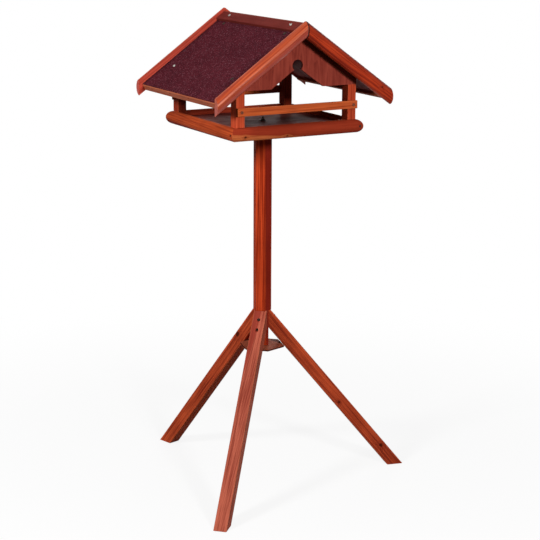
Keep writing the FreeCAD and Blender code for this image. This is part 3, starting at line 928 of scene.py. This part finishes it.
# %% Geometry helpers
def turned(profile, around=24):
    """A closed turned form about Z from (radius, height) pairs, bottom to top."""
    index = give("GeometryNodeInputIndex")
    picks = []
    for column in zip(*profile):
        pick = add("GeometryNodeIndexSwitch", data_type="FLOAT")
        while len(pick.index_switch_items) < len(profile):
            pick.index_switch_items.new()
        fill(pick.inputs, dict(enumerate((index, *column))))
        picks.append(pick.outputs[0])
    radii, heights = picks
    line = give("GeometryNodeMeshLine", {"Count": len(profile)})
    placed = give("GeometryNodeSetPosition", {"Geometry": line, "Position": xyz(z=heights)})
    axis = give("GeometryNodeMeshToCurve", {"Mesh": placed})
    ring = give("GeometryNodeCurvePrimitiveCircle", {"Resolution": around, "Radius": 1.0})
    body = give("GeometryNodeCurveToMesh", {
        "Curve": axis, "Profile Curve": ring, "Scale": radii, "Fill Caps": True,
    })
    return give("GeometryNodeMergeByDistance", {"Geometry": body, "Distance": same_place})


def joined(*pieces):
    """Several geometries as one."""
    node = add("GeometryNodeJoinGeometry")
    for piece in reversed(pieces):
        fill(node.inputs, {0: piece})
    return node.outputs[0]


def attribute(name, kind="FLOAT"):
    """A named attribute of the points."""
    return give("GeometryNodeInputNamedAttribute", {"Name": name}, data_type=kind)


def put_on(points, instance, scale=(1.0, 1.0, 1.0), seed=1):
    """An instance on every point, its Z along the point's way out, turned by chance about that."""
    aligned = give("FunctionNodeAlignRotationToVector", {
        "Vector": attribute("way_out", "FLOAT_VECTOR"),
    }, axis="Z")
    chance = add("FunctionNodeRandomValue", {"Seed": seed}, data_type="FLOAT").outputs[1]
    about = give("FunctionNodeAxisAngleToRotation", {
        "Axis": upright, "Angle": times(chance, math.pi / 2),
    })
    both_turns = give("FunctionNodeRotateRotation", {
        "Rotation": aligned, "Rotate By": about,
    }, rotation_space="LOCAL")
    return give("GeometryNodeInstanceOnPoints", {
        "Points": points, "Instance": instance, "Rotation": both_turns, "Scale": scale,
    })


def shank(width, tip, top, around):
    """A pointed shank of length 1 below the head."""
    radius = times(width, 0.5)
    return turned([(0.0, -1.0), (radius, tip), (radius, top)], around)


def finish_tree(geometry, given, result):
    """Instances made real, with their material, as the tree's output."""
    real = give("GeometryNodeRealizeInstances", {"Geometry": geometry})
    skinned = give("GeometryNodeSetMaterial", {"Geometry": real, "Material": given["Material"]})
    fill(result, {"Geometry": skinned})


def geometry_tree(name, sizes, **others):
    """A new tree: points, sizes, other inputs and a material go in, and a geometry comes out."""
    return new_group(name, {
        "Geometry": "Geometry", **dict.fromkeys(sizes, "Float"), **others, "Material": "Material",
    }, {"Geometry": "Geometry"}, "GeometryNodeTree")


def made(name, start, tree, values, stands_for, crease=35):
    """Runs a tree on a mesh, and leaves a plain mesh that rides on the object."""
    piece = new_object(name, start)
    modifier = piece.modifiers.new("made", "NODES")
    modifier.node_group = tree
    for item in tree.interface.items_tree:
        if item.in_out == "INPUT" and item.name in values:
            modifier[item.identifier] = values[item.name]
    view = bpy.context.evaluated_depsgraph_get()
    mesh = bpy.data.meshes.new_from_object(piece.evaluated_get(view), depsgraph=view)
    piece.modifiers.clear()
    piece.data = mesh
    mesh.name = name
    mesh.shade_smooth()
    mesh.set_sharp_from_angle(angle=math.radians(crease))
    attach(piece, "root")
    if stands_for:
        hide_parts(stands_for)
    print(name, len(mesh.polygons), "faces")

# %% [markdown]
# ## A cross-head screw
#
# The pan head is a low dome on a short rim; a sunk head is a cone under a flat disc. Both have
# the driver's cross cut into them: two crossed wedges, narrower at the bottom, taken away with a
# Boolean. The shank ends in a point, and is stretched to each screw's own length.

# %% Screw tree
dome = ((1.0, 0.0), (1.0, 0.34), (0.95, 0.60), (0.84, 0.80), (0.66, 0.93), (0.40, 1.0))
sunk_rim, rim_bevel = 0.0003, 0.00004
wedge_narrowing = 0.45


def screw_tree(name, sunk):
    """A tree that puts a screw on every point of a mesh."""
    tree, given, result = geometry_tree(name, (
        "Head Width", "Head Height", "Shank Width", "Cross Width", "Cross Span", "Cross Depth",
    ))
    radius = times(given["Head Width"], 0.5)
    depth = given["Cross Depth"]
    if sunk:
        top = 0.0
        shank_radius = times(given["Shank Width"], 0.5)
        head = turned([
            (shank_radius, calc("SUBTRACT", shank_radius, radius)), (radius, -sunk_rim),
            (radius, -rim_bevel), (times(radius, 0.96), 0.0),
        ])
    else:
        top = given["Head Height"]
        head = turned([(times(radius, share), times(top, rise)) for share, rise in dome])
    at = give("GeometryNodeInputPosition")
    slim = plus(times(calc("LESS_THAN", axes(at)["Z"], 0.0), -wedge_narrowing), 1.0)
    block = give("GeometryNodeMeshCube", {
        "Size": xyz(given["Cross Span"], given["Cross Width"], times(depth, 2.0)),
    })
    wedge = give("GeometryNodeSetPosition", {
        "Geometry": block, "Position": vcalc("MULTIPLY", at, xyz(slim, slim, 1.0)),
    })
    cut = add("GeometryNodeMeshBoolean", {0: head}, operation="DIFFERENCE", solver="EXACT")
    for turn in (0.0, math.pi / 2):
        fill(cut.inputs, {1: give("GeometryNodeTransform", {
            "Geometry": wedge, "Translation": xyz(z=top), "Rotation": (0, 0, turn),
        })})
    rod = shank(given["Shank Width"], -0.88, -0.001, 12)
    finish_tree(joined(
        put_on(given["Geometry"], cut.outputs[0], seed=3),
        put_on(given["Geometry"], rod, xyz(1.0, 1.0, attribute("shank_length")), seed=3),
    ), given, result)
    return tree


pan_screw = screw_tree("Pan-head screw", False)
sunk_screw = screw_tree("Sunk-head screw", True)
announce(pan_screw)

# %% [markdown]
# ## The screws in their places
#
# Ages come from the photograph: the screws in the ridge strips and one low on the roof are bright,
# and the others that show are dark, those in the perch under their brown film. The hidden ones get
# an age between.

# %% Screws
cross = {"Cross Width": 0.0011, "Cross Span": 0.0040, "Cross Depth": 0.0012, "Material": zinc}
pan = {"Head Width": 0.0075, "Head Height": 0.0024, "Shank Width": 0.0040, **cross}
sunk = {"Head Width": 0.0080, "Head Height": 0.0, "Shank Width": 0.0040, **cross}
small = {**sunk, "Head Width": 0.0060, "Shank Width": 0.0030, "Cross Span": 0.0032}
screw_sets = {
    "ridge_screws": (pan_screw, pan, fair_age),
    "roof_screws": (pan_screw, pan, dark_age),
    "perch_screws": (pan_screw, {**pan, "Material": brown_zinc}, dark_age),
    "leg_screws": (sunk_screw, sunk, dark_age),
    "post_screws": (sunk_screw, sunk, dull_age),
    "plate_screws": (sunk_screw, small, dull_age),
    "tray_corner_screws": (sunk_screw, small, dark_age),
}
for name, (tree, sizes, age) in screw_sets.items():
    places = fastener_places(name, sizes["Head Height"], age)
    made("cross_head_" + name, places, tree, sizes, name)

# %% [markdown]
# ## Wire pins
#
# A pin is a thin wire with a small flat head, its rim softened by the hammer. The same places and
# the same turning helper make them all.

# %% Pins
pin_tree, given, result = geometry_tree("Wire pin", ("Head Width", "Head Height", "Wire Width"))
rim, tall = times(given["Head Width"], 0.5), given["Head Height"]
pin_head = turned([(rim, 0.0), (rim, times(tall, 0.7)), (times(rim, 0.72), tall)], 16)
wire = shank(given["Wire Width"], -0.94, 0.001, 8)
finish_tree(joined(
    put_on(given["Geometry"], pin_head),
    put_on(given["Geometry"], wire, xyz(1.0, 1.0, attribute("shank_length"))),
), given, result)

pin_sizes = {
    "Head Width": 0.0030, "Head Height": 0.0008, "Wire Width": 0.0016, "Material": pin_stain,
}
for name in ("barge_pins", "batten_pins", "cleat_pins", "gable_pins"):
    places = fastener_places(name, pin_sizes["Head Height"])
    made("wire_" + name, places, pin_tree, pin_sizes, name)

# %% [markdown]
# ## The threaded bolt in the tray
#
# The bolt stands up through the middle of the tray, and its thread shows above the nut. A thread
# is a ridge on a spiral: a thin triangle swept up a helix round a core, with a chamfered top.

# %% Bolt
bolt_tree, given, result = geometry_tree("Threaded bolt", (
    "Width", "Pitch", "Thread Depth", "Turns", "Length",
))
outer = times(given["Width"], 0.5)
root_radius = calc("SUBTRACT", outer, given["Thread Depth"])
threaded = times(given["Turns"], given["Pitch"])


def below_thread(gap):
    """The height of the thread's lower end, and a gap below it."""
    return calc("SUBTRACT", -gap, threaded)


core = turned([
    (outer, times(given["Length"], -1.0)), (outer, below_thread(0.0006)),
    (root_radius, below_thread(0.0003)), (root_radius, -0.0004),
    (calc("SUBTRACT", root_radius, 0.0004), 0.0),
])
helix = give("GeometryNodeCurveSpiral", {
    "Resolution": 24, "Rotations": given["Turns"], "Start Radius": root_radius,
    "End Radius": root_radius, "Height": threaded,
})
lowered = give("GeometryNodeTransform", {
    "Geometry": helix, "Translation": xyz(z=below_thread(0.0005)),
})
tooth = give("GeometryNodeCurvePrimitiveCircle", {
    "Resolution": 3, "Radius": given["Thread Depth"],
})
ridge = give("GeometryNodeCurveToMesh", {
    "Curve": lowered, "Profile Curve": tooth, "Fill Caps": True,
})
put = give("GeometryNodeInstanceOnPoints", {
    "Points": given["Geometry"], "Instance": joined(core, ridge),
})
finish_tree(put, given, result)

bolt_low, bolt_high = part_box("tray_bolt")
bolt_place = bpy.data.meshes.new("bolt_place")
bolt_place.from_pydata([(0.0, 0.0, bolt_high[2])], [], [])
bolt_place.attributes.new("age", "FLOAT", "POINT").data.foreach_set("value", [dark_age])
made("threaded_tray_bolt", bolt_place, bolt_tree, {
    "Width": 0.0050, "Pitch": 0.0008, "Thread Depth": 0.00042, "Turns": 24.0,
    "Length": bolt_high[2] - bolt_low[2], "Material": zinc,
}, "tray_bolt", crease=50)

# %% [markdown]
# ## Felt with mineral grit
#
# Roofing felt is bitumen pressed full of crushed slate. Close up each grain has its own shade,
# and from far off they mix into a maroon with a fine speckle. The sheet gets the far look: a cell
# pattern gives each grain a shade and a bump, and broad clouds vary the whole. The screws and the
# boards have left grey scuffs, and a painted shadow darkens the felt along the boards. Real grains
# are then strewn over it, for its rough outline and its sparkle.

# %% Felt finish
ridge_height = 1.1580
felt_top_drop = 0.0110


def roof_point(side, down, y, drop=felt_top_drop):
    """A place on the roof: a distance down the slope, and one square to it below the ridge line."""
    x = down * math.cos(roof_pitch) - drop * math.sin(roof_pitch)
    z = ridge_height - down * math.sin(roof_pitch) - drop * math.cos(roof_pitch)
    return Vector((side_signs[side] * x, y, z))


felt_light, felt_dark = colour(98, 36, 46), colour(52, 14, 22)
pink_grain, black_grain = colour(140, 90, 100), colour(30, 12, 16)
# the second colour is a painted shadow of the boards along the felt's edges
scuff_colour, painted_barge_shadow_colour = colour(76, 66, 76), colour(34, 14, 16)
grain_scale, grain_relief = 620.0, 0.0005   # cells in a metre, and metres

felt_group, given, result = new_group(
    "Mineral felt",
    {"Vector": "Vector", "Light": "Color", "Dark": "Color", "Scuff": "Float"},
    finish_outputs,
)
point = given["Vector"]
cells = add("ShaderNodeTexVoronoi", {"Vector": point, "Scale": grain_scale}).outputs
shade = axes(cells["Color"])
cloud = noise(point, 16.0, 4.0)
clump = noise(point, 180.0, 2.0)
tone = plus(
    times(shade["X"], 0.70), ease(clump, 0.3, 0.7, 0.0, 0.25), ease(cloud, 0.3, 0.7, -0.12, 0.12),
    clamp=True,
)
grit = blend(tone, given["Dark"], given["Light"])
grit = blend(ease(shade["Y"], 0.86, 0.96, 0.0, 0.6), grit, pink_grain)
grit = blend(ease(shade["Z"], 0.88, 0.96, 0.0, 0.8), grit, black_grain)
rubbed = times(given["Scuff"], ease(clump, 0.40, 0.58), 0.55)
fill(result, {
    "Color": blend(rubbed, grit, scuff_colour),
    "Roughness": ease(shade["X"], 0.0, 1.0, 0.80, 0.97),
    "Height": plus(times(clump, 0.4), cells["Distance"]),
})

painted_barge_shadow_band = 0.180, 0.1985   # metres from the roof's middle: no painted shadow here, darkest there
# metres down the slope, metres towards the front, and reach
scuffs = (
    (0.040, 0.151, 0.015), (0.206, 0.151, 0.013), (0.206, -0.151, 0.005),
    (0.150, -0.186, 0.010), (0.095, -0.188, 0.009),
)


def felt_skin(name, side):
    """The felt's material on one slope, with its scuffs and a painted shadow along the boards."""
    material, shader, here = new_skin(name, 0.02)
    scuffed = 0.0
    for down, forward, reach in scuffs:
        away = vcalc("DISTANCE", here, roof_point(side, down, -forward))
        scuffed = calc("MAXIMUM", scuffed, ease(away, reach, 0.002))
    # painted shadow: the felt darkens towards the boards along both edges
    painted_barge_shadow = ease(calc("ABSOLUTE", axes(here)["Y"]), *painted_barge_shadow_band, 0.0, 0.6)
    felt = place_group(felt_group, {
        "Vector": here, "Light": felt_light, "Dark": felt_dark, "Scuff": scuffed,
    })
    base = blend(painted_barge_shadow, felt["Color"], painted_barge_shadow_colour)
    finish_skin(shader, base, felt["Roughness"], felt["Height"], 0.8, grain_relief)
    return material


for side in side_signs:
    dress("felt_" + side, felt_skin("mineral_felt_" + side, side))
print("felt on", len(side_signs), "slopes")

# %% [markdown]
# ## Loose grains
#
# A few thousand low-poly grains lie on each slope, strewn by chance with a fixed seed, each
# turned and sized by chance and sunk by half. An icosahedron has twenty faces, which is enough
# for a crumb.

# %% Grains
grain_tree, given, result = geometry_tree(
    "Strewn grains", ("Density", "Smallest", "Largest"), Seed="Int")
strewn = give("GeometryNodeDistributePointsOnFaces", {
    "Mesh": given["Geometry"], "Density": given["Density"], "Seed": given["Seed"],
}, distribute_method="RANDOM")
crumb = give("GeometryNodeMeshIcoSphere", {"Radius": 1.0, "Subdivisions": 1})
any_turn = give("FunctionNodeRandomValue", {
    "Min": (0, 0, 0), "Max": (math.tau, math.tau, math.tau), "Seed": given["Seed"],
}, data_type="FLOAT_VECTOR")
size = add("FunctionNodeRandomValue", {
    "Min": given["Smallest"], "Max": given["Largest"], "Seed": plus(given["Seed"], 1.0),
}, data_type="FLOAT").outputs[1]
crumbs = give("GeometryNodeInstanceOnPoints", {
    "Points": strewn, "Instance": crumb, "Rotation": any_turn, "Scale": size,
})
finish_tree(crumbs, given, result)

grain_skin, shader, spot = new_skin("felt_grain", 0.05)
cell = axes(add("ShaderNodeTexVoronoi", {"Vector": spot, "Scale": 1100.0}).outputs["Color"])
fill(shader, {
    "Base Color": blend(cell["X"], colour(112, 54, 66), colour(50, 17, 26)),
    "Roughness": ease(cell["Y"], 0.0, 1.0, 0.5, 0.9),
})

grain_sizes = {
    "Density": 60000.0, "Smallest": 0.00022, "Largest": 0.00048, "Material": grain_skin,
}
felt_top, felt_bottom, felt_half = 0.034, 0.282, 0.1955
felt_corners = (
    (felt_top, -felt_half), (felt_bottom, -felt_half),
    (felt_bottom, felt_half), (felt_top, felt_half),
)
for seed, side in enumerate(side_signs, 11):
    field = bpy.data.meshes.new("grain_field_" + side)
    field.from_pydata([roof_point(side, down, y) for down, y in felt_corners], [], [(0, 1, 2, 3)])
    made("felt_grains_" + side, field, grain_tree, {**grain_sizes, "Seed": seed}, None,
         crease=20)

# %% [markdown]
# ## Sizes, and the end
#
# Both boxes are gathered in a table, and the finished object's box is printed. The finished
# object must stay inside the model's box.

# %% Sizes and finish
visual_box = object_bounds()
sizes = {"cad": [list(corner) for corner in cad_box], "visual": [list(corner) for corner in visual_box]}
print("visual box", [[round(v, 4) for v in corner] for corner in sizes["visual"]])
